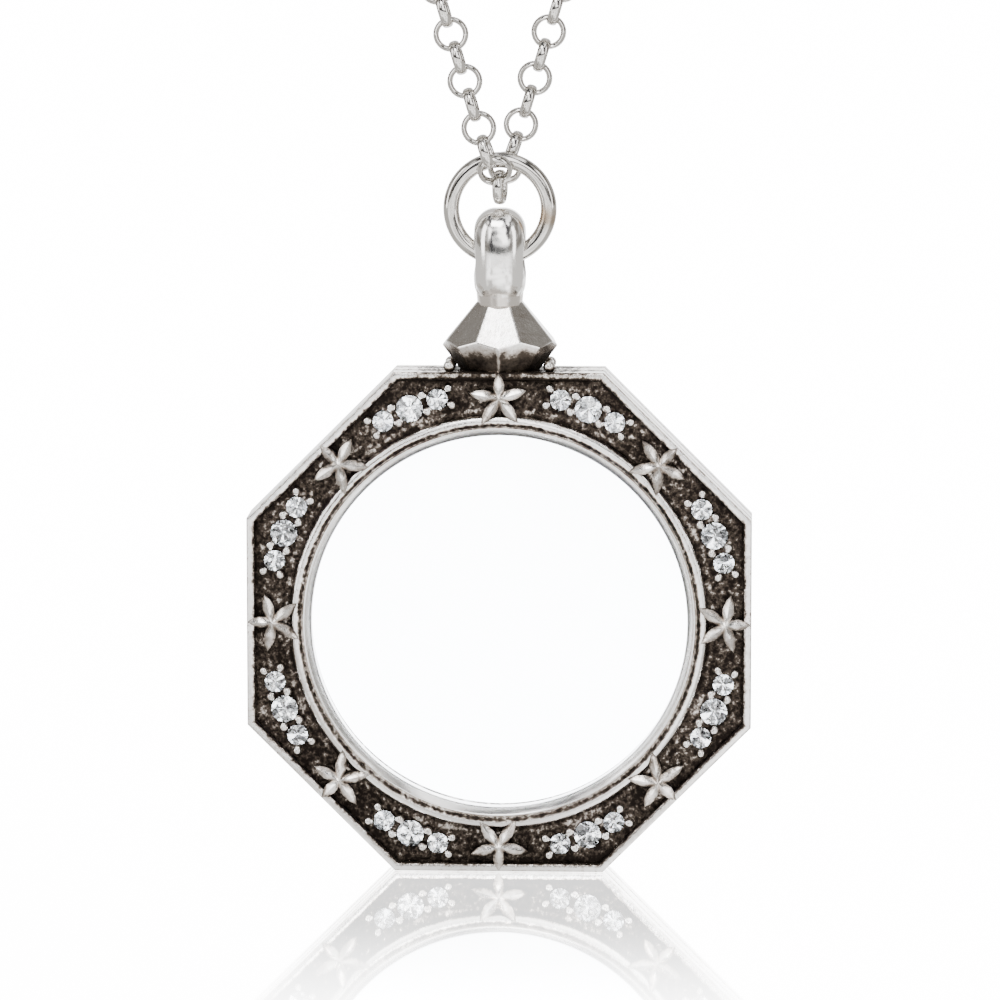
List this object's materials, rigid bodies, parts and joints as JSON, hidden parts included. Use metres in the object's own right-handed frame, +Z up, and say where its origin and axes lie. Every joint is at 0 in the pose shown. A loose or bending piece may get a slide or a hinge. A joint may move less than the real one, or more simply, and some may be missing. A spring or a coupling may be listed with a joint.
{
  "type": "magnifier pendant on a neck chain",
  "caption": "Octagonal magnifying-lens pendant with star relief, round crystals and a faceted finial, hanging from a large ring on a rolo-link neck chain",
  "frame": {"origin": "where the necklace hangs: the top of the chain loop, at the middle of the clasp on the nape", "axes": "+Z up, X across the loop, the pendant's face towards -Y"},
  "size_m": [0.1194, 0.0086, 0.3304],
  "materials": {
    "antiqued_silver": "cast silver-tone metal with dark oxide in the recesses and bright worn rims",
    "polished_silver": "polished silver-tone plating with light handling marks",
    "lens_glass": "clear ground and polished lens",
    "crystal": "clear faceted crystal with a mirrored back"
  },
  "bodies": {
    "neck_chain": {"chain": "polished_silver", "clasp": "polished_silver"},
    "ring": {"hang_ring": "polished_silver"},
    "pendant": {"frame": "antiqued_silver", "lens_bezel": "polished_silver", "lens": "lens_glass", "stone_1": "crystal", "stone_2": "crystal", "stone_3": "crystal", "stone_4": "crystal", "stone_5": "crystal", "stone_6": "crystal", "stone_7": "crystal", "stone_8": "crystal", "stone_9": "crystal", "stone_10": "crystal", "stone_11": "crystal", "stone_12": "crystal", "stone_13": "crystal", "stone_14": "crystal", "stone_15": "crystal", "stone_16": "crystal", "stone_17": "crystal", "stone_18": "crystal", "stone_19": "crystal", "stone_20": "crystal", "stone_21": "crystal", "stone_22": "crystal", "stone_23": "crystal", "stone_24": "crystal"}
  },
  "joints": [
    {"name": "ring_swing", "type": "hinge", "parent": "neck_chain", "child": "ring", "pos_m": [0, 0, -0.25767], "axis": [1, 0, 0], "range_deg": [-30, 30]},
    {"name": "pendant_swing", "type": "hinge", "parent": "ring", "child": "pendant", "pos_m": [0, 0, -0.26737], "axis": [1, 0, 0], "range_deg": [-40, 40]}
  ]
}
